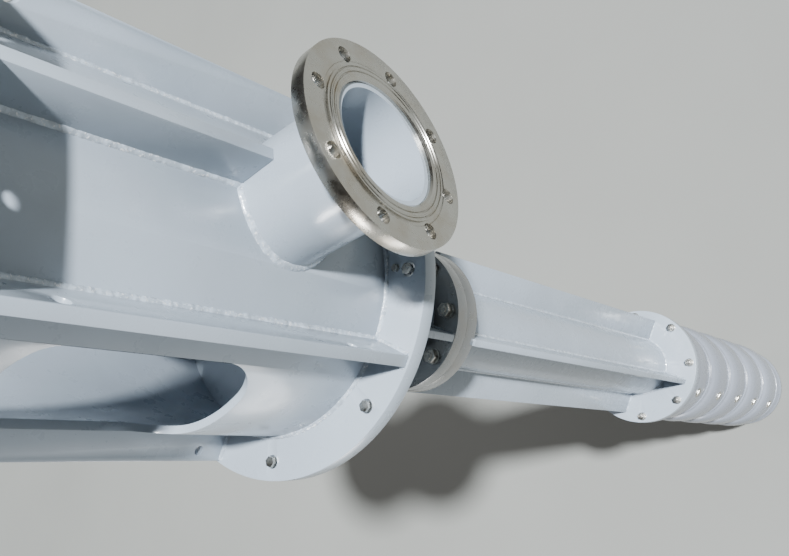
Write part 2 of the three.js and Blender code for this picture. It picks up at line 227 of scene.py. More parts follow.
class PumpFinishSettings(bpy.types.PropertyGroup):
    """Colours of the finishes."""

    paint: bpy.props.FloatVectorProperty(
        name="Head Paint", description="Light grey of the discharge head",
        default=(0.335, 0.385, 0.442), subtype="COLOR", min=0, max=1)
    column: bpy.props.FloatVectorProperty(
        name="Column Paint", description="Light grey of the column and its ribs",
        default=(0.332, 0.379, 0.435), subtype="COLOR", min=0, max=1)
    bowls: bpy.props.FloatVectorProperty(
        name="Bowl Paint", description="Slightly violet grey of the bowls",
        default=(0.23, 0.25, 0.295), subtype="COLOR", min=0, max=1)
    machined: bpy.props.FloatVectorProperty(
        name="Machined Steel", description="Bare turned steel of the discharge flange",
        default=(0.50, 0.485, 0.445), subtype="COLOR", min=0, max=1)
    # Darker than the discharge steel partly as painted shade: the joint sits in the base plate's shadow.
    joint: bpy.props.FloatVectorProperty(
        name="Joint Steel", description="Darker steel of the column joint",
        default=(0.34, 0.345, 0.35), subtype="COLOR", min=0, max=1)
    shaft: bpy.props.FloatVectorProperty(
        name="Shaft Steel", description="Ground steel of the shaft and its seal",
        default=(0.45, 0.46, 0.47), subtype="COLOR", min=0, max=1)
    bolt: bpy.props.FloatVectorProperty(
        name="Bolt Steel", description="Bright plated fasteners",
        default=(0.62, 0.60, 0.55), subtype="COLOR", min=0, max=1)


class PumpStageSettings(bpy.types.PropertyGroup):
    """Floor, light and camera."""

    floor: bpy.props.FloatVectorProperty(
        name="Floor", description="Colour of the floor",
        default=(0.205, 0.207, 0.193), subtype="COLOR", min=0, max=1)
    sun: bpy.props.FloatProperty(
        name="Key Light", description="Strength of the key light", default=12.0, min=0)
    sun_angle: bpy.props.FloatProperty(
        name="Key Softness", description="Apparent width of the key light",
        default=math.radians(3.5), subtype="ANGLE")
    fill: bpy.props.FloatProperty(
        name="Fill Light", description="Strength of the light from all round",
        default=0.025, min=0)
    backdrop: bpy.props.FloatProperty(
        name="Backdrop", description="Brightness of the empty backdrop above the floor",
        default=0.62, min=0)
    lens: bpy.props.FloatProperty(
        name="Lens", description="Focal length of the camera in millimetres", default=37.94)


def shape():
    """The shape settings."""
    return bpy.context.scene.pump_shape


# Finishes
# The second colour is a painted highlight: the bright colour of the weld flecks stands for glints.
STAIN, SPATTER_AND_GLINT = (0.36, 0.29, 0.19), (0.62, 0.64, 0.66)


class Nodes:
    """Adds linked nodes to one material."""

    def __init__(self, name):
        self.material = bpy.data.materials.new(name)
        self.material.use_nodes = True
        self.tree = self.material.node_tree
        self.surface = self.tree.nodes["Principled BSDF"]
        self.place = self.tree.nodes.new("ShaderNodeTexCoord").outputs["Object"]

    def give(self, socket, value):
        """Links a socket or sets its value."""
        if isinstance(value, bpy.types.NodeSocket):
            self.tree.links.new(value, socket)
        else:
            socket.default_value = value

    def add(self, kind, inputs=None, **settings):
        """A new node with its inputs and settings."""
        node = self.tree.nodes.new(kind)
        for key, value in settings.items():
            setattr(node, key, value)
        for key, value in (inputs or {}).items():
            self.give(node.inputs[key], value)
        return node

    def cloud(self, scale, detail=3, roughness=0.5):
        """Soft noise."""
        inputs = {"Vector": self.place, "Scale": scale, "Detail": detail, "Roughness": roughness}
        return self.add("ShaderNodeTexNoise", inputs).outputs["Fac"]

    def spread(self, value, source, target):
        """Maps one range of values to another."""
        inputs = {"Value": value, "From Min": source[0], "From Max": source[1],
                  "To Min": target[0], "To Max": target[1]}
        return self.add("ShaderNodeMapRange", inputs).outputs["Result"]

    def blend(self, factor, first, second):
        """Mixes two colours."""
        node = self.add("ShaderNodeMix", data_type="RGBA", blend_type="MIX")
        self.give(node.inputs[0], factor)
        for socket, value in ((6, first), (7, second)):
            linked = isinstance(value, bpy.types.NodeSocket)
            self.give(node.inputs[socket], value if linked else (*value[:3], 1))
        return node.outputs[2]

    def bump(self, height, strength, distance, under=None):
        """A bump, over another one if it is given."""
        inputs = {"Height": height, "Strength": strength, "Distance": distance}
        if under:
            inputs["Normal"] = under
        return self.add("ShaderNodeBump", inputs).outputs["Normal"]

    def wire(self, **sockets):
        """Gives the shader its inputs and returns the material."""
        for name, value in sockets.items():
            self.give(self.surface.inputs[name.replace("_", " ")], value)
        return self.material


def scaled(colour, factor):
    """A lighter or darker colour."""
    return tuple(min(1.0, c * factor) for c in colour[:3])


def paint(name, colour, gloss=0.30, peel=0.10, dust=0.5):
    """Semi-gloss sprayed paint: faint clouds, dust specks, rubbed patches and orange peel."""
    n = Nodes(name)
    clouds = n.spread(n.cloud(4.0), (0.35, 0.65), (0, 1))
    tone = n.blend(clouds, scaled(colour, 0.93), scaled(colour, 1.05))
    smear = n.spread(n.cloud(19.0, 5, 0.6), (0.50, 0.78), (0, 0.16 * dust))
    tone = n.blend(smear, tone, scaled(colour, 0.78))
    specks = n.spread(n.cloud(230.0, 2), (0.66, 0.76), (0, 0.20 * dust))
    tone = n.blend(specks, tone, scaled(colour, 0.45))
    rough = n.spread(n.cloud(26.0, 4, 0.6), (0.3, 0.7), (gloss - 0.07, gloss + 0.10))
    runs = n.bump(n.cloud(55.0, 2), 0.10, 1.2 * MM)
    skin = n.bump(n.cloud(420.0, 3, 0.6), peel, 0.6 * MM, runs)
    return n.wire(Base_Color=tone, Roughness=rough, Normal=skin, Metallic=0.0,
                  Coat_Weight=0.35, Coat_Roughness=0.16)


def weld_paint(name, colour):
    """Paint run thick and glossy over a weld, with flecks that are bumped like weld splashes and painted
    bright: a painted highlight standing for glints.
    """
    n = Nodes(name)
    clouds = n.spread(n.cloud(90.0, 3, 0.6), (0.42, 0.62), (0, 1))
    tone = n.blend(clouds, scaled(colour, 0.86), scaled(colour, 1.22))
    # Flecks bumped as weld splashes and tinted bright as a painted highlight.
    spatter_and_glint = n.spread(n.cloud(260.0, 2), (0.58, 0.66), (0, 1))
    tone = n.blend(spatter_and_glint, tone, SPATTER_AND_GLINT)
    rough = n.spread(n.cloud(150.0, 2), (0.35, 0.65), (0.10, 0.30))
    lumps = n.bump(n.cloud(140.0, 3, 0.6), 0.5, 1.6 * MM)
    skin = n.bump(spatter_and_glint, 0.5, 0.6 * MM, lumps)
    return n.wire(Base_Color=tone, Roughness=rough, Normal=skin, Metallic=0.0,
                  Coat_Weight=0.8, Coat_Roughness=0.06)


def machined(name, colour, centre, along, stain=0.5, polish=(0.20, 0.36), bare=1.0):
    """Bare steel with turning marks about an axis, and tan stains."""
    n = Nodes(name)
    shift = {"Vector": n.place, "Location": tuple(-c for c in centre)}
    centred = n.add("ShaderNodeMapping", shift).outputs["Vector"]
    wave = {"Vector": centred, "Scale": 190.0, "Distortion": 0.15, "Detail": 2.0}
    marks = n.add("ShaderNodeTexWave", wave, wave_type="RINGS", rings_direction=along).outputs["Fac"]
    tone = n.blend(n.spread(n.cloud(14.0, 5, 0.65), (0.46, 0.66), (0, stain)), colour, STAIN)
    tone = n.blend(n.spread(marks, (0, 1), (0, 0.30)), tone, scaled(colour, 0.70))
    rough = n.spread(n.cloud(40.0, 4, 0.6), (0.3, 0.7), polish)
    return n.wire(Base_Color=tone, Roughness=rough, Normal=n.bump(marks, 0.28, 0.3 * MM), Metallic=bare)


def plated(name, colour):
    """Small plated fasteners with darker scuffs."""
    n = Nodes(name)
    tone = n.blend(n.spread(n.cloud(120.0), (0.42, 0.62), (0, 0.7)), colour, scaled(colour, 0.42))
    rough = n.spread(n.cloud(200.0), (0.3, 0.7), (0.22, 0.42))
    grain = n.bump(n.cloud(700.0), 0.12, 0.3 * MM)
    return n.wire(Base_Color=tone, Roughness=rough, Normal=grain, Metallic=1.0)


def floor_finish(name, colour):
    """Pale floated floor."""
    n = Nodes(name)
    clouds = n.spread(n.cloud(0.8, 5), (0.35, 0.65), (0, 1))
    tone = n.blend(clouds, scaled(colour, 0.96), scaled(colour, 1.03))
    return n.wire(Base_Color=tone, Roughness=0.75, Normal=n.bump(n.cloud(30.0, 4), 0.05, 1 * MM))


def finishes():
    """The pump's materials, made once and found by name."""
    if "pump_head_paint" not in bpy.data.materials:
        colours = bpy.context.scene.pump_finish
        shaft_line = (AXIS_X, 0, 0)
        paint("pump_head_paint", colours.paint)
        # The weld paint is 12 percent lighter than the head paint: a painted highlight for the lit beads.
        weld_paint("pump_weld_paint", scaled(colours.paint, 1.12))
        paint("pump_column_paint", colours.column, gloss=0.28)
        paint("pump_bowl_paint", colours.bowls, gloss=0.27, peel=0.22, dust=0.8)
        machined("pump_discharge_steel", colours.machined, (0, 0, NOZZLE_Z), "X")
        # A darker copy of the machined steel for the column joint; its darkness is partly painted shade.
        machined("pump_joint_steel_shaded", colours.joint, shaft_line, "Z",
                 stain=0.25, polish=(0.14, 0.30), bare=0.85)
        machined("pump_shaft_steel", colours.shaft, shaft_line, "Z", stain=0.2)
        plated("pump_bolt_steel", colours.bolt)
    return bpy.data.materials


# Shaping
def healed(bm, distance=1e-5):
    """Merges doubles and turns the faces outwards."""
    bmesh.ops.remove_doubles(bm, verts=bm.verts, dist=distance)
    bmesh.ops.recalc_face_normals(bm, faces=bm.faces)
    return bm


def turned(points, steps=None, closed=True):
    """A bmesh spun about the shaft from (radius, z) points."""
    bm = bmesh.new()
    verts = [bm.verts.new((AXIS_X + r, 0, z)) for r, z in points]
    ring = verts + verts[:1] if closed else verts
    edges = [bm.edges.new(pair) for pair in zip(ring, ring[1:])]
    bmesh.ops.spin(bm, geom=verts + edges, cent=(AXIS_X, 0, 0), axis=UP, angle=math.tau,
                   steps=steps or shape().round_steps, use_merge=True)
    return healed(bm)


def disc(radius, bore, low, high, steps=None):
    """A ring about the shaft."""
    return turned([(bore, low), (radius, low), (radius, high), (bore, high)], steps)


def bevelled(bm, edges, width, steps=2, clamp=True):
    """Rounds the given edges."""
    bmesh.ops.bevel(bm, geom=edges, offset=width, offset_type="OFFSET", segments=steps, profile=0.5,
                    affect="EDGES", clamp_overlap=clamp, material=-1)
    return bm


def rounded(bm, width=None, sharp=30):
    """Rounds every edge that is sharper than the angle."""
    edges = [e for e in bm.edges if e.is_manifold and e.calc_face_angle(0) > math.radians(sharp)]
    return bevelled(bm, edges, width or shape().edge)


def rod(radius, start, end, steps=32):
    """A round bar between two points."""
    bm = bmesh.new()
    start, end = Vector(start), Vector(end)
    bmesh.ops.create_cone(bm, cap_ends=True, segments=steps, radius1=radius, radius2=radius,
                          depth=(end - start).length)
    turn = UP.rotation_difference((end - start).normalized()).to_matrix().to_4x4()
    bmesh.ops.transform(bm, matrix=Matrix.Translation((start + end) / 2) @ turn, verts=bm.verts)
    return bm


def joined(*shapes):
    """Several shapes in one bmesh."""
    whole = bmesh.new()
    for bm in shapes:
        part = bpy.data.meshes.new("part")
        bm.to_mesh(part)
        bm.free()
        whole.from_mesh(part)
        bpy.data.meshes.remove(part)
    return whole


def placed(name, data):
    """A new object in the scene, at the origin."""
    obj = bpy.data.objects.new(name, data)
    bpy.context.scene.collection.objects.link(obj)
    return obj


def mesh_of(bm, name):
    """The bmesh as a mesh."""
    mesh = bpy.data.meshes.new(name)
    bm.to_mesh(mesh)
    bm.free()
    return mesh


def carved(bm, *tools, merge=1e-5):
    """The shape with the tools cut out of it."""
    body = placed("carve_body", mesh_of(bm, "carve_body"))
    cutter = placed("carve_tool", mesh_of(joined(*tools), "carve_tool"))
    cut = body.modifiers.new("cut", "BOOLEAN")
    cut.operation, cut.solver, cut.object = "DIFFERENCE", "EXACT", cutter
    mesh = bpy.data.meshes.new_from_object(body.evaluated_get(bpy.context.evaluated_depsgraph_get()))
    result = bmesh.new()
    result.from_mesh(mesh)
    for obj in (body, cutter):
        data = obj.data
        bpy.data.objects.remove(obj)
        bpy.data.meshes.remove(data)
    bpy.data.meshes.remove(mesh)
    return healed(result, merge)


def bolt_holes(circle, radius, angles, low, high):
    """Bars that drill a ring of holes about the shaft."""
    return [rod(radius, shaft_point(circle, a, low), shaft_point(circle, a, high), 28) for a in angles]


def piece(bm, name, material, stands_for=(), smooth=32):
    """Turns a bmesh into a finished piece that rides on the pump."""
    mesh = mesh_of(bm, name)
    mesh.shade_smooth()
    mesh.set_sharp_from_angle(angle=math.radians(smooth))
    mesh.materials.append(finishes()[material])
    obj = placed(name, mesh)
    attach(obj, "root")
    if stands_for:
        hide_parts(*stands_for)


def dressed(bm, node, material):
    """A finished piece that stands for one CAD node."""
    piece(bm, f"{node}_finished", material, [node])


def radial_plate(inner, outer, low, high, thickness, degrees):
    """A plate that stands radially on its angle about the shaft."""
    bm = bmesh.new()
    outline = ((inner, low), (outer, low), (outer, high), (inner, high))
    face = bm.faces.new([bm.verts.new((r, -thickness / 2, z)) for r, z in outline])
    grown = bmesh.ops.extrude_face_region(bm, geom=[face])["geom"]
    verts = [v for v in grown if isinstance(v, bmesh.types.BMVert)]
    bmesh.ops.translate(bm, vec=(0, thickness, 0), verts=verts)
    turn = Matrix.Translation((AXIS_X, 0, 0)) @ Matrix.Rotation(math.radians(degrees), 4, "Z")
    bmesh.ops.transform(bm, matrix=turn, verts=bm.verts)
    return healed(bm)


# Welds and fasteners
BEAD_STEP = 2.6 * MM
# The section of a fillet, in legs along the two surfaces.
BEAD_SECTION = ((-0.12, -0.12), (1.0, -0.12), (0.97, 0.08), (0.58, 0.58), (0.08, 0.97), (-0.12, 1.0))


def bead(stations, leg, seed):
    """A rippled fillet weld. Each station is (corner, way along one surface, way along the other)."""
    bm = bmesh.new()
    last, sides = len(stations) - 1, len(BEAD_SECTION)
    bmesh.ops.create_grid(bm, x_segments=last, y_segments=sides, size=1)
    travelled = [0.0]
    for (a, _, _), (b, _, _) in zip(stations, stations[1:]):
        travelled.append(travelled[-1] + (b - a).length)
    pitch = shape().ripple
    for v in bm.verts:
        i, j = round((v.co.x + 1) / 2 * last), round((v.co.y + 1) / 2 * sides) % sides
        corner, one, other = stations[i]
        s = travelled[i] / pitch
        wander = noise.noise(Vector((s * 0.23, seed, 0))) * 0.22
        wander += noise.noise(Vector((s * 1.7, seed, 5))) * 0.10
        scallop = 1 - 0.11 * (s % 1.0) ** 2
        p, q = BEAD_SECTION[j]
        size = leg * (scallop + wander)
        v.co = corner + one * (p * size) + other * (q * size)
    healed(bm)
    bmesh.ops.holes_fill(bm, edges=[e for e in bm.edges if e.is_boundary], sides=sides)
    return healed(bm)


def straight_bead(start, end, one, other, leg, seed):
    """A fillet from start to end."""
    count = max(4, round((end - start).length / BEAD_STEP))
    return bead([(start.lerp(end, i / count), one, other) for i in range(count + 1)], leg, seed)


def ring_bead(radius, z, up, leg, seed):
    """A fillet round the shaft: outward along the plate and up or down along the pipe."""
    count = round(math.tau * radius / BEAD_STEP)
    turns = [360 * i / count for i in range(count + 1)]
    return bead([(shaft_point(radius, a, z), radial(a), UP * up) for a in turns], leg, seed)


def rib_beads(root, tip, low, high, thickness, degrees, leg, seed, ends):
    """The welds of one rib: both sides of its root, and across each end that meets a plate."""
    beads, along = [], radial(degrees)
    for side in (-1, 1):
        across = radial(degrees + 90) * side
        foot = shaft_point(root, degrees, 0) + across * thickness / 2
        beads.append(straight_bead(foot + UP * low, foot + UP * high, along, across, leg, seed + side))
        for z, up in ends:
            start = foot + UP * z
            end = start + along * (tip - root - leg * 0.6)
            beads.append(straight_bead(start, end, UP * up, across, leg * 0.9, seed + side + up))
    return beads


def saddle_bead(leg, count=230):
    """The weld where the discharge pipe leaves the shell."""
    stations = []
    for i in range(count + 1):
        t = math.tau * i / count
        y, rise = PIPE_R * math.sin(t), PIPE_R * math.cos(t)
        reach = math.sqrt(SHELL_R**2 - y**2)
        normal = Vector((reach, y, 0)).normalized()
        away = Vector((0, math.sin(t), math.cos(t)))
        away = (away - normal * away.dot(normal)).normalized()
        stations.append((Vector((AXIS_X + reach, y, NOZZLE_Z + rise)), OUT, away))
    return bead(stations, leg, 11)


def neck_bead(leg, count=230):
    """The weld where the discharge pipe meets the back of its flange."""
    stations = []
    for i in range(count + 1):
        t = math.tau * i / count
        away = Vector((0, math.sin(t), math.cos(t)))
        stations.append((Vector((NOZZLE_BACK, 0, NOZZLE_Z)) + away * PIPE_R, -OUT, away))
    return bead(stations, leg, 12)


def hexagon(across, height):
    """A nut or bolt head standing on z 0."""
    bm = bmesh.new()
    r = across / math.sqrt(3)
    bmesh.ops.create_cone(bm, cap_ends=True, segments=6, radius1=r, radius2=r, depth=height)
    bmesh.ops.translate(bm, vec=(0, 0, height / 2), verts=bm.verts)
    top = [e for e in bm.edges if all(v.co.z > height * 0.9 for v in e.verts)]
    return bevelled(bm, top, NUT_CHAMFER)


def fastener(place, way, across, height, stud=0.0, washer=True):
    """A washer, a hexagon and the end of the stud, standing on place and facing way."""
    shapes = [hexagon(across, height)]
    if washer:
        bmesh.ops.translate(shapes[0], vec=(0, 0, WASHER_SEAT), verts=shapes[0].verts)
        shapes.append(rounded(rod(across * WASHER_SHARE, (0, 0, 0), (0, 0, WASHER_T), 28), 0.5 * MM))
    if stud:
        shapes.append(rounded(rod(across * STUD_SHARE, (0, 0, 0), (0, 0, height + stud), 20), 1.0 * MM))
    bm = joined(*shapes)
    turn = UP.rotation_difference(Vector(way)).to_matrix().to_4x4()
    bmesh.ops.transform(bm, matrix=Matrix.Translation(place) @ turn, verts=bm.verts)
    return bm


# The pieces
class PUMP_OT_head_shell(bpy.types.Operator):
    """Make the rolled head shell with its two windows and the hole for the discharge pipe"""

    bl_idname = "pump.head_shell"
    bl_label = "Head Shell"

    def execute(self, context):
        shell = disc(SHELL_R, SHELL_R - SHELL_WALL, SHELL_LOW, SHELL_HIGH)
        shell = carved(shell, window_block(-1), window_block(1), pipe_bar(*SHELL_PIPE), merge=0.5 * MM)
        piece(rounded(shell, 1.0 * MM), "head_shell_finished", "pump_head_paint", SHELL_NODES)
        return {"FINISHED"}


def pipe_bar(start, end):
    """A bar as thick as the discharge pipe, between two distances from the shaft."""
    return rod(PIPE_R + GAP, (AXIS_X + start, 0, NOZZLE_Z), (AXIS_X + end, 0, NOZZLE_Z), 72)


def window_block(side):
    """A block with rounded corners that cuts the window on one side of the shell."""
    bm = bmesh.new()
    bmesh.ops.create_cube(bm, size=1)
    bmesh.ops.scale(bm, vec=(2 * WINDOW_HALF, WINDOW_DEPTH, WINDOW_HIGH - WINDOW_LOW), verts=bm.verts)
    corners = [e for e in bm.edges if abs(e.verts[0].co.y - e.verts[1].co.y) > 1 * MM]
    bevelled(bm, corners, WINDOW_CORNER, steps=12, clamp=False)
    place = Matrix.Translation((AXIS_X, 0, 0)) @ Matrix.Rotation(math.radians(WINDOW_TURN), 4, "Z")
    place @= Matrix.Translation((0, side * WINDOW_AWAY, (WINDOW_LOW + WINDOW_HIGH) / 2))
    bmesh.ops.transform(bm, matrix=place, verts=bm.verts)
    return bm


class PUMP_OT_plates(bpy.types.Operator):
    """Make the base plate and the motor flange, both drilled"""

    bl_idname = "pump.plates"
    bl_label = "Base Plate and Motor Flange"

    def execute(self, context):
        base = turned([(PIPE_BORE, RELIEF), (RELIEF_R, RELIEF), (RELIEF_R, PLATE_LOW),
                       (PLATE_R, PLATE_LOW), (PLATE_R, PLATE_TOP), (PIPE_BORE, PLATE_TOP)])
        drills = bolt_holes(WIDE_CIRCLE, BOLT_HOLE_R, eighths(COLUMN_TURN), *BASE_DRILL)
        dressed(rounded(carved(base, *drills)), "base_plate", "pump_head_paint")
        flange = disc(PLATE_R, MOTOR_BORE_R, FLANGE_LOW, HEAD_END)
        low, high = FLANGE_LOW - PLATE_REACH, HEAD_END + PLATE_REACH
        drills = bolt_holes(WIDE_CIRCLE, BOLT_HOLE_R, eighths(HEAD_TURN), low, high)
        dressed(rounded(carved(flange, *drills)), "motor_flange", "pump_head_paint")
        return {"FINISHED"}


class PUMP_OT_head_ribs(bpy.types.Operator):
    """Make the four head ribs with their eyes, and the rib above the discharge"""

    bl_idname = "pump.head_ribs"
    bl_label = "Head Ribs"

    def execute(self, context):
        for i, (angle, eyes) in enumerate(zip(RIB_ANGLES, RIB_EYES), 1):
            node, turn = f"head_rib_{i}", angle + HEAD_TURN
            rib = radial_plate(SHELL_R + GAP, HEAD_RIB_R, *low_high(node, "z"), HEAD_RIB_T, turn)
            across = radial(turn + 90) * EYE_REACH
            drills = []
            for r, z, size in eyes:
                eye = shaft_point(r, turn, z)
                drills.append(rod(size, eye - across, eye + across, 36))
            dressed(rounded(carved(rib, *drills)), node, "pump_head_paint")
        low, high = NOZZLE_Z + NOZZLE_RIB_RISE, low_high("nozzle_rib", "z")[1]
        rib = radial_plate(SHELL_R + GAP, NOZZLE_RIB_R, low, high, HEAD_RIB_T, HEAD_TURN)
        rib = carved(rib, pipe_bar(*RIB_PIPE), merge=0.5 * MM)
        dressed(rounded(rib), "nozzle_rib", "pump_head_paint")
        return {"FINISHED"}


class PUMP_OT_discharge(bpy.types.Operator):
    """Make the discharge elbow and its machined flange with a grooved raised face"""

    bl_idname = "pump.discharge"
    bl_label = "Discharge"

    def execute(self, context):
        low, end = low_high("discharge_elbow", "z")[0], low_high("discharge_elbow", "x")[1]
        elbow = bmesh.new()
        foot = Matrix.Translation((AXIS_X, 0, low))
        made = bmesh.ops.create_circle(elbow, cap_ends=False, segments=72, radius=PIPE_R, matrix=foot)
        rim = list({e for v in made["verts"] for e in v.link_edges})
        rim = grown_rim(elbow, rim, (0, 0, BEND_LOW - low))
        bend = bmesh.ops.spin(elbow, geom=rim, cent=(AXIS_X + BEND_R, 0, BEND_LOW), axis=(0, 1, 0),
                              angle=math.pi / 2, steps=28)
        rim = [g for g in bend["geom_last"] if isinstance(g, bmesh.types.BMEdge)]
        grown_rim(elbow, rim, (end - AXIS_X - BEND_R, 0, 0))
        healed(elbow)
        bmesh.ops.solidify(elbow, geom=elbow.faces[:], thickness=PIPE_WALL)
        start, stop = [(AXIS_X, 0, z) for z in SHAFT_DRILL]
        elbow = carved(healed(elbow), rod(SHAFT_HOLE_R, start, stop, 40))
        dressed(elbow, "discharge_elbow", "pump_head_paint")

        flange = turned(discharge_profile(), 128)
        bmesh.ops.translate(flange, vec=(-AXIS_X, 0, 0), verts=flange.verts)
        spots = [radial(a) * NOZZLE_CIRCLE for a in eighths(0)]
        drills = [rod(BOLT_HOLE_R, spot - UP * FLANGE_REACH, spot + UP * FACE_REACH, 32) for spot in spots]
        flange = carved(flange, *drills)
        edges = [e for e in flange.edges if e.is_manifold and e.calc_face_angle(0) > math.radians(60)]
        edges = [e for e in edges if e.verts[0].co.xy.length > RAISED_R - 0.5 * MM]
        bevelled(flange, edges, 1.2 * MM)
        stand = Matrix.Translation((NOZZLE_BACK, 0, NOZZLE_Z)) @ Matrix.Rotation(math.pi / 2, 4, "Y")
        bmesh.ops.transform(flange, matrix=stand, verts=flange.verts)
        piece(flange, "discharge_flange_finished", "pump_discharge_steel",
              ["discharge_flange"], smooth=25)
        return {"FINISHED"}


def discharge_profile():
    """The discharge flange's section, lying on its back, with the rings and grooves of its face."""
    depth, pitch = NOZZLE_FACE - NOZZLE_BACK, shape().groove_pitch
    inner, shoulder = PIPE_R + GAP, depth - RAISED_STEP
    profile = [(inner, 0), (NOZZLE_R, 0), (NOZZLE_R, shoulder), (RAISED_R + GUTTER_WIDTH, shoulder),
               (RAISED_R + GUTTER_WIDTH - GUTTER_DEPTH, shoulder - GUTTER_DEPTH),
               (RAISED_R, shoulder - GUTTER_DEPTH), (RAISED_R, depth)]
    for r in FACE_RINGS:
        profile += [(r, depth), (r - RING_SLOPE, depth - RING_DEPTH),
                    (r - RING_SLOPE - RING_FLAT, depth - RING_DEPTH), (r - 2 * RING_SLOPE - RING_FLAT, depth)]
        fine = r - 2 * RING_SLOPE - RING_FLAT - pitch
        while fine > r - FACE_RINGS_APART + pitch:
            profile += [(fine, depth), (fine - pitch * 0.3, depth - GROOVE_DEPTH),
                        (fine - pitch * 0.6, depth)]
            fine -= pitch
    return profile + [(inner + MOUTH_WIDTH, depth), (inner, depth - MOUTH_DEPTH)]


def grown_rim(bm, rim, vec):
    """Extends a pipe's open rim and returns the new rim."""
    grown = bmesh.ops.extrude_edge_only(bm, edges=rim)["geom"]
    bmesh.ops.translate(bm, vec=vec, verts=[g for g in grown if isinstance(g, bmesh.types.BMVert)])
    return [g for g in grown if isinstance(g, bmesh.types.BMEdge) and g.is_boundary]


class PUMP_OT_shaft_parts(bpy.types.Operator):
    """Make the line shaft, its coupling and the shaft seal inside the head"""

    bl_idname = "pump.shaft_parts"
    bl_label = "Shaft and Seal"

    def execute(self, context):
        low, high = low_high("line_shaft", "z")
        neck = SHAFT_R - SHAFT_STEP
        shaft = turned([(0, low), (SHAFT_R, low), (SHAFT_R, high - SHAFT_END),
                        (neck, high - SHAFT_END + SHAFT_STEP), (neck, high), (0, high)], 48, closed=False)
        dressed(rounded(shaft, 1.5 * MM), "line_shaft", "pump_shaft_steel")

        low, high = low_high("shaft_coupling", "z")
        r, bore = radius_of("shaft_coupling"), SHAFT_R + GAP
        waist, length = r - COUPLING_WAIST, COUPLING_END + COUPLING_WAIST
        coupling = turned([(bore, low), (r, low), (r, low + COUPLING_END), (waist, low + length),
                           (waist, high - length), (r, high - COUPLING_END), (r, high), (bore, high)], 64)
        dressed(rounded(coupling), "shaft_coupling", "pump_shaft_steel")

        housing = disc(SEAL_R, SHAFT_HOLE_R, *low_high("seal_housing", "z"), 72)
        housing = carved(housing, elbow_solid(), merge=0.3 * MM)
        dressed(rounded(upper_part(housing)), "seal_housing", "pump_head_paint")

        low, high = low_high("seal_flange", "z")
        studs = [45 + 90 * k for k in range(4)]
        drills = bolt_holes(SEAL_CIRCLE, SEAL_STUD_R, studs, low - FLANGE_REACH, high + FLANGE_REACH)
        flange = carved(disc(radius_of("seal_flange"), bore, low, high, 72), *drills)
        dressed(rounded(flange), "seal_flange", "pump_shaft_steel")
        nuts = [fastener(shaft_point(SEAL_CIRCLE, a, high), UP, *SEAL_NUT) for a in studs]
        piece(joined(*nuts), "seal_studs", "pump_bolt_steel")

        gland = disc(radius_of("seal_gland"), bore, *low_high("seal_gland", "z"), 64)
        dressed(rounded(gland), "seal_gland", "pump_shaft_steel")
        return {"FINISHED"}


def elbow_solid():
    """The elbow's outer shape without a bore."""
    bm = bmesh.new()
    foot = Matrix.Translation((AXIS_X, 0, BEND_LOW))
    made = bmesh.ops.create_circle(bm, cap_ends=True, segments=48, radius=PIPE_R + GAP, matrix=foot)
    face = made["verts"][0].link_faces[0]
    bmesh.ops.spin(bm, geom=[face], cent=(AXIS_X + BEND_R, 0, BEND_LOW), axis=(0, 1, 0),
                   angle=math.pi / 2, steps=20)
    return healed(bm)


def upper_part(bm):
    """Drops what the carving leaves below the elbow's back."""
    top = max(bm.verts, key=lambda v: v.co.z)
    kept, todo = {top}, [top]
    while todo:
        for edge in todo.pop().link_edges:
            for v in edge.verts:
                if v not in kept:
                    kept.add(v)
                    todo.append(v)
    bmesh.ops.delete(bm, geom=[v for v in bm.verts if v not in kept], context="VERTS")
    return bm


class PUMP_OT_column(bpy.types.Operator):
    """Make the spool, the finned column and their flanges"""

    bl_idname = "pump.column"
    bl_label = "Spool and Column"

    def execute(self, context):
        turns = eighths(COLUMN_TURN)
        for part, reach in (("spool", SPOOL_RIB_R), ("column", COLUMN_RIB_R)):
            node = f"{part}_pipe"
            pipe = disc(PIPE_R, PIPE_BORE, *low_high(node, "z"), 96)
            dressed(pipe, node, "pump_column_paint")
            for i, angle in enumerate(RIB_ANGLES, 1):
                node = f"{part}_rib_{i}"
                turn = angle + COLUMN_TURN
                rib = radial_plate(PIPE_R + GAP, reach, *low_high(node, "z"), COLUMN_RIB_T, turn)
                dressed(rounded(rib), node, "pump_column_paint")
        for node, circle, hole, material, slot in (
            ("spool_flange", JOINT_CIRCLE, BOLT_HOLE_R, "pump_joint_steel_shaded", "machined_steel"),
            ("column_top_flange", JOINT_CIRCLE, BOLT_HOLE_R, "pump_joint_steel_shaded", "machined_steel"),
            ("column_end_flange", END_CIRCLE, END_HOLE_R, "pump_column_paint", "column_paint"),
        ):
            low, high = low_high(node, "z")
            drills = bolt_holes(circle, hole, turns, low - FLANGE_REACH, high + FLANGE_REACH)
            flange = carved(disc(radius_of(node), PIPE_BORE, low, high, 128), *drills)
            dressed(rounded(flange), node, material)
        return {"FINISHED"}


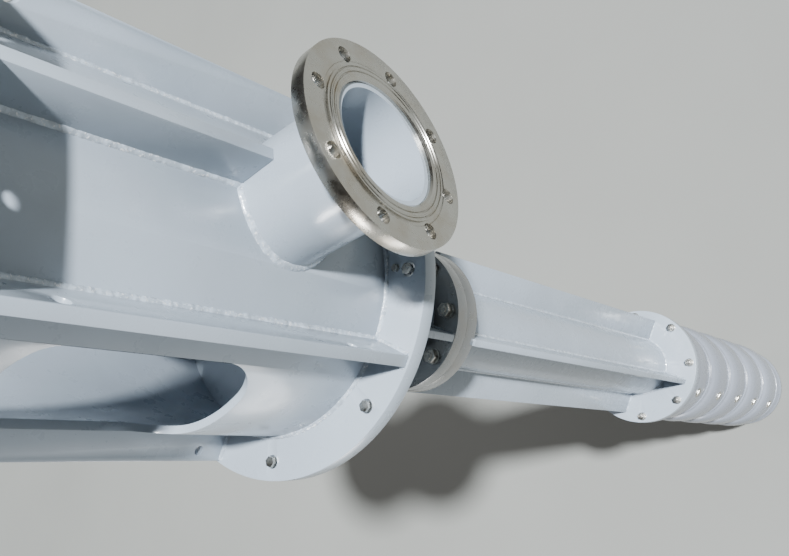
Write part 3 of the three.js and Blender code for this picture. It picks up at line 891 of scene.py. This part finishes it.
class PUMP_OT_bowls(bpy.types.Operator):
    """Make the five bulging bowls, their plugs and the suction bell"""

    bl_idname = "pump.bowls"
    bl_label = "Bowls and Suction Bell"

    def execute(self, context):
        bulge = radius_of("bowl_2")
        for node in BOWL_NODES:
            dressed(bowl(node, bulge), node, "pump_bowl_paint")
            low, high = low_high(node, "z")
            z = high - PLUG_DROP * (high - low)
            piece(plug(bulge, z), f"{node}_plug", "pump_bolt_steel")
        low, high = low_high("suction_bell", "z")
        rim = radius_of("suction_bell")
        throat = [(BOWL_SEAM_R - back * MM, high - down * MM) for back, down in BELL_THROAT]
        bell = turned([*throat, (rim - BELL_LIP, low), (rim, low), (rim, low + BELL_LIP),
                       (rim - 3 * MM, low + BELL_LIP + 4 * MM), (BOWL_SEAM_R, high)], 96)
        hub = disc(BELL_HUB_R, SHAFT_R + GAP, low + BELL_HUB_INSET, high - BELL_HUB_INSET, 48)
        vanes = vane_cross(BELL_HUB_R - 1 * MM, BOWL_SEAM_R - 20 * MM, low + HUB_INSET, high - HUB_INSET)
        bell = joined(rounded(bell, 1.5 * MM), rounded(hub), *vanes)
        dressed(bell, "suction_bell", "pump_bowl_paint")
        return {"FINISHED"}


def bowl(node, bulge):
    """One bowl: case, hub, vanes and the lips at its seams. The first one has a flange and no upper lip."""
    low, high = low_high(node, "z")
    first = node == BOWL_NODES[0]
    outer, inner = bowl_side(low, high, 0), bowl_side(low, high, BOWL_WALL)
    if first:
        flange_r, under = radius_of(node), high - BOWL_FLANGE_T
        outer = [p for p in outer if p[1] < under - 2 * MM]
        outer += [(bulge - 4 * MM, under), (flange_r, under), (flange_r, high)]
    case = rounded(turned(outer + inner[::-1], 96), 0.8 * MM, sharp=40)
    hub_low, hub_high = low + HUB_INSET, high - HUB_INSET
    core = bowl_side(hub_low, hub_high, BOWL_WALL + PASSAGE, 2)
    hub = turned([(SHAFT_R + GAP, hub_low), *core, (SHAFT_R + GAP, hub_high)], 48)
    passage = bulge - BOWL_WALL
    vanes = vane_cross(passage - PASSAGE - 8 * MM, passage + 2 * MM, low + VANE_LOW, low + VANE_HIGH)
    seams = [low + LIP_INSET] if first else [low + LIP_INSET, high - LIP_INSET - LIP_T]
    lips = [disc(BOWL_SEAM_R + LIP_PROUD, BOWL_SEAM_R - LIP_SUNK, z, z + LIP_T, 96) for z in seams]
    lips = [rounded(lip, 1.0 * MM) for lip in lips]
    return joined(case, hub, *vanes, *lips)


def plug(bulge, z):
    """A plug with its boss on the side of a bowl."""
    way = radial(PLUG_ANGLE)
    spot = shaft_point(bulge - 3 * MM, PLUG_ANGLE, z)
    boss = rounded(rod(PLUG_BOSS_R, spot - way * 7 * MM, spot + way * 4 * MM, 28), 1.5 * MM)
    return joined(boss, fastener(spot + way * 3 * MM, way, *PLUG_HEAD, washer=False))


def bowl_side(low, high, inset, steps=4):
    """One side of a bowl from seam to seam as (radius, z) points, smoothed between the stated ones."""
    ends = [BOWL_PROFILE[0], *BOWL_PROFILE, BOWL_PROFILE[-1]]
    side = []
    for (_, r0), (t1, r1), (t2, r2), (_, r3) in zip(ends, ends[1:], ends[2:], ends[3:]):
        for i in range(steps):
            u = i / steps
            r = r1 + 0.5 * u * (r2 - r0 + u * (2 * r0 - 5 * r1 + 4 * r2 - r3 + u * (3 * (r1 - r2) + r3 - r0)))
            side.append((r * MM - inset, low + (t1 + u * (t2 - t1)) * (high - low)))
    return side + [(BOWL_SEAM_R - inset, high)]


def vane_cross(inner, outer, low, high):
    """Four radial vanes."""
    return [rounded(radial_plate(inner, outer, low, high, VANE_T, 90 * k)) for k in range(4)]


class PUMP_OT_welds(bpy.types.Operator):
    """Lay the rippled fillet welds of the head, the discharge and the column"""

    bl_idname = "pump.welds"
    bl_label = "Welds"

    def execute(self, context):
        leg, seed = shape().head_weld, 1.0
        head = [ring_bead(SHELL_R, PLATE_TOP, 1, leg, 0.3), ring_bead(SHELL_R, FLANGE_LOW, -1, leg, 0.7)]
        ends = ((PLATE_TOP, 1), (FLANGE_LOW, -1))
        for angle in RIB_ANGLES:
            seed += 7
            head += rib_beads(SHELL_R, HEAD_RIB_R, PLATE_TOP, FLANGE_LOW, HEAD_RIB_T,
                              angle + HEAD_TURN, leg, seed, ends)
        head += rib_beads(SHELL_R, NOZZLE_RIB_R, NOZZLE_Z + PIPE_R, FLANGE_LOW, HEAD_RIB_T,
                          HEAD_TURN, leg, 50, ends[1:])
        piece(joined(*head), "head_welds", "pump_weld_paint", smooth=60)
        discharge = joined(saddle_bead(leg * 1.2), neck_bead(leg * 2.2))
        piece(discharge, "discharge_welds", "pump_weld_paint", smooth=60)

        leg = shape().column_weld
        column = [ring_bead(PIPE_R, RELIEF, -1, leg, 3)]
        for node, up in (("spool_flange", 1), ("column_top_flange", -1), ("column_end_flange", 1)):
            low, high = low_high(node, "z")
            column.append(ring_bead(PIPE_R, high if up > 0 else low, up, leg, seed + up))
        for part in ("spool", "column"):
            for i, angle in enumerate(RIB_ANGLES, 1):
                seed += 5
                low, high = low_high(f"{part}_rib_{i}", "z")
                ends = ((low, 1), (high, -1))
                column += rib_beads(PIPE_R, SPOOL_RIB_R, low, high, COLUMN_RIB_T,
                                    angle + COLUMN_TURN, leg, seed, ends)
        piece(joined(*column), "column_welds", "pump_weld_paint", smooth=60)
        return {"FINISHED"}


class PUMP_OT_fasteners(bpy.types.Operator):
    """Fit the bolts and nuts of the joints and the screws in the base plate"""

    bl_idname = "pump.fasteners"
    bl_label = "Fasteners"

    def execute(self, context):
        turns = eighths(COLUMN_TURN)
        top, bottom = low_high("spool_flange", "z")[1], low_high("column_top_flange", "z")[0]
        joint = []
        for a in turns:
            joint.append(fastener(shaft_point(JOINT_CIRCLE, a, top), UP, *JOINT_BOLT))
            joint.append(fastener(shaft_point(JOINT_CIRCLE, a, bottom), -UP, *JOINT_NUT))
        piece(joined(*joint), "joint_bolts", "pump_bolt_steel")
        spots = [shaft_point(WIDE_CIRCLE, a, PLATE_TOP - SCREW_SUNK) for a in turns]
        plate = [fastener(spot, UP, *PLATE_SCREW, washer=False) for spot in spots]
        spot = shaft_point(WIDE_CIRCLE - SMALL_SCREW_INSET, SMALL_SCREW_ANGLE, PLATE_TOP)
        plate.append(fastener(spot, UP, *SMALL_SCREW, washer=False))
        piece(joined(*plate), "base_plate_screws", "pump_bolt_steel")
        end = [fastener(shaft_point(END_CIRCLE, a, END_HIGH), UP, *END_NUT) for a in turns]
        piece(joined(*end), "column_end_bolts", "pump_bolt_steel")
        return {"FINISHED"}


class PUMP_OT_stage(bpy.types.Operator):
    """Set the floor, the soft light and the camera"""

    bl_idname = "pump.stage"
    bl_label = "Stage"

    def execute(self, context):
        settings = context.scene.pump_stage
        lay_floor(settings)
        hang_lights(settings)
        set_backdrop(context.scene, settings)
        place_camera(context.scene, settings)
        return {"FINISHED"}


def lay_floor(settings):
    """A plain round floor just below the pump."""
    ground = bmesh.new()
    place = Matrix.Translation((AXIS_X, 0, FLOOR_Z))
    bmesh.ops.create_circle(ground, cap_ends=True, segments=96, radius=FLOOR_R, matrix=place)
    mesh = mesh_of(ground, "studio_floor")
    mesh.materials.append(floor_finish("studio_floor", settings.floor))
    floor = placed("studio_floor", mesh)


def hang_lights(settings):
    """The key light, two softboxes and a narrow spot on the side of the head."""
    sun = bpy.data.lights.new("key", "SUN")
    sun.energy, sun.angle, sun.color = settings.sun, settings.sun_angle, KEY_COLOUR
    key = placed("key", sun)
    key.rotation_mode = "QUATERNION"
    key.rotation_quaternion = Vector(KEY_FROM).to_track_quat("Z", "Y")
    for name, place, target, width, power in SOFTBOXES:
        area = bpy.data.lights.new(name, "AREA")
        area.shape, area.size, area.energy = "DISK", width, power
        aim(placed(name, area), place, target)
    spot = bpy.data.lights.new("head_side", "SPOT")
    spot.energy, spot.shadow_soft_size = SPOT_POWER, SPOT_RADIUS
    spot.spot_size, spot.spot_blend = SPOT_CONE, SPOT_BLEND
    aim(placed("head_side", spot), SPOT_PLACE, SPOT_TARGET)


def aim(lamp, place, target):
    """Hangs a lamp at its place and points it at its target."""
    lamp.location = place
    lamp.rotation_euler = (Vector(place) - Vector(target)).to_track_quat("Z", "Y").to_euler()


def set_backdrop(scene, settings):
    """A weak light from all round, and a pale backdrop where nothing else shows."""
    world = bpy.data.worlds.new("studio")
    world.use_nodes = True
    nodes, links = world.node_tree.nodes, world.node_tree.links
    sky = nodes["Background"]
    sky.inputs["Color"].default_value = BACKDROP_COLOUR
    seen = nodes.new("ShaderNodeLightPath").outputs["Is Camera Ray"]
    level = nodes.new("ShaderNodeMapRange")
    level.inputs["To Min"].default_value = settings.fill
    level.inputs["To Max"].default_value = settings.backdrop
    links.new(seen, level.inputs["Value"])
    links.new(level.outputs["Result"], sky.inputs["Strength"])
    scene.world = world


def place_camera(scene, settings):
    """The camera above the head, looking down along the pump."""
    lens = bpy.data.cameras.new("camera")
    lens.lens, lens.sensor_width = settings.lens, SENSOR_WIDTH
    lens.shift_x, lens.shift_y = CAMERA_SHIFT
    lens.clip_start, lens.clip_end = CAMERA_CLIP
    camera = placed("camera", lens)
    camera.location = CAMERA_PLACE
    camera.rotation_euler = Euler([math.radians(a) for a in CAMERA_TURN])
    scene.camera = camera


class PUMP_PT_panel(bpy.types.Panel):
    """Lists the pump's settings and pieces in the sidebar."""

    bl_idname = "PUMP_PT_panel"
    bl_label = "Vertical Turbine Pump"
    bl_space_type = "VIEW_3D"
    bl_region_type = "UI"
    bl_category = "Pump"

    def draw(self, context):
        for group, _ in SETTINGS:
            settings = getattr(context.scene, group)
            box = self.layout.box()
            for name in settings.__annotations__:
                box.prop(settings, name)
        for operator in OPERATORS:
            self.layout.operator(operator.bl_idname)


SETTINGS = (
    ("pump_shape", PumpShapeSettings),
    ("pump_finish", PumpFinishSettings),
    ("pump_stage", PumpStageSettings),
)
OPERATORS = (
    PUMP_OT_head_shell,
    PUMP_OT_plates,
    PUMP_OT_head_ribs,
    PUMP_OT_discharge,
    PUMP_OT_shaft_parts,
    PUMP_OT_column,
    PUMP_OT_bowls,
    PUMP_OT_welds,
    PUMP_OT_fasteners,
    PUMP_OT_stage,
)


def register():
    """Registers the settings, the operators and the panel."""
    for name, group in SETTINGS:
        bpy.utils.register_class(group)
        setattr(bpy.types.Scene, name, bpy.props.PointerProperty(type=group))
    for cls in (*OPERATORS, PUMP_PT_panel):
        bpy.utils.register_class(cls)


def unregister():
    """Takes the classes and the settings out again."""
    for cls in reversed((*OPERATORS, PUMP_PT_panel)):
        bpy.utils.unregister_class(cls)
    for name, group in reversed(SETTINGS):
        delattr(bpy.types.Scene, name)
        bpy.utils.unregister_class(group)


def main():
    """Makes every piece and the studio."""
    register()
    bpy.ops.pump.head_shell()
    bpy.ops.pump.plates()
    bpy.ops.pump.head_ribs()
    bpy.ops.pump.discharge()
    bpy.ops.pump.shaft_parts()
    bpy.ops.pump.column()
    bpy.ops.pump.bowls()
    bpy.ops.pump.welds()
    bpy.ops.pump.fasteners()
    bpy.ops.pump.stage()


if __name__ == "__main__":
    main()
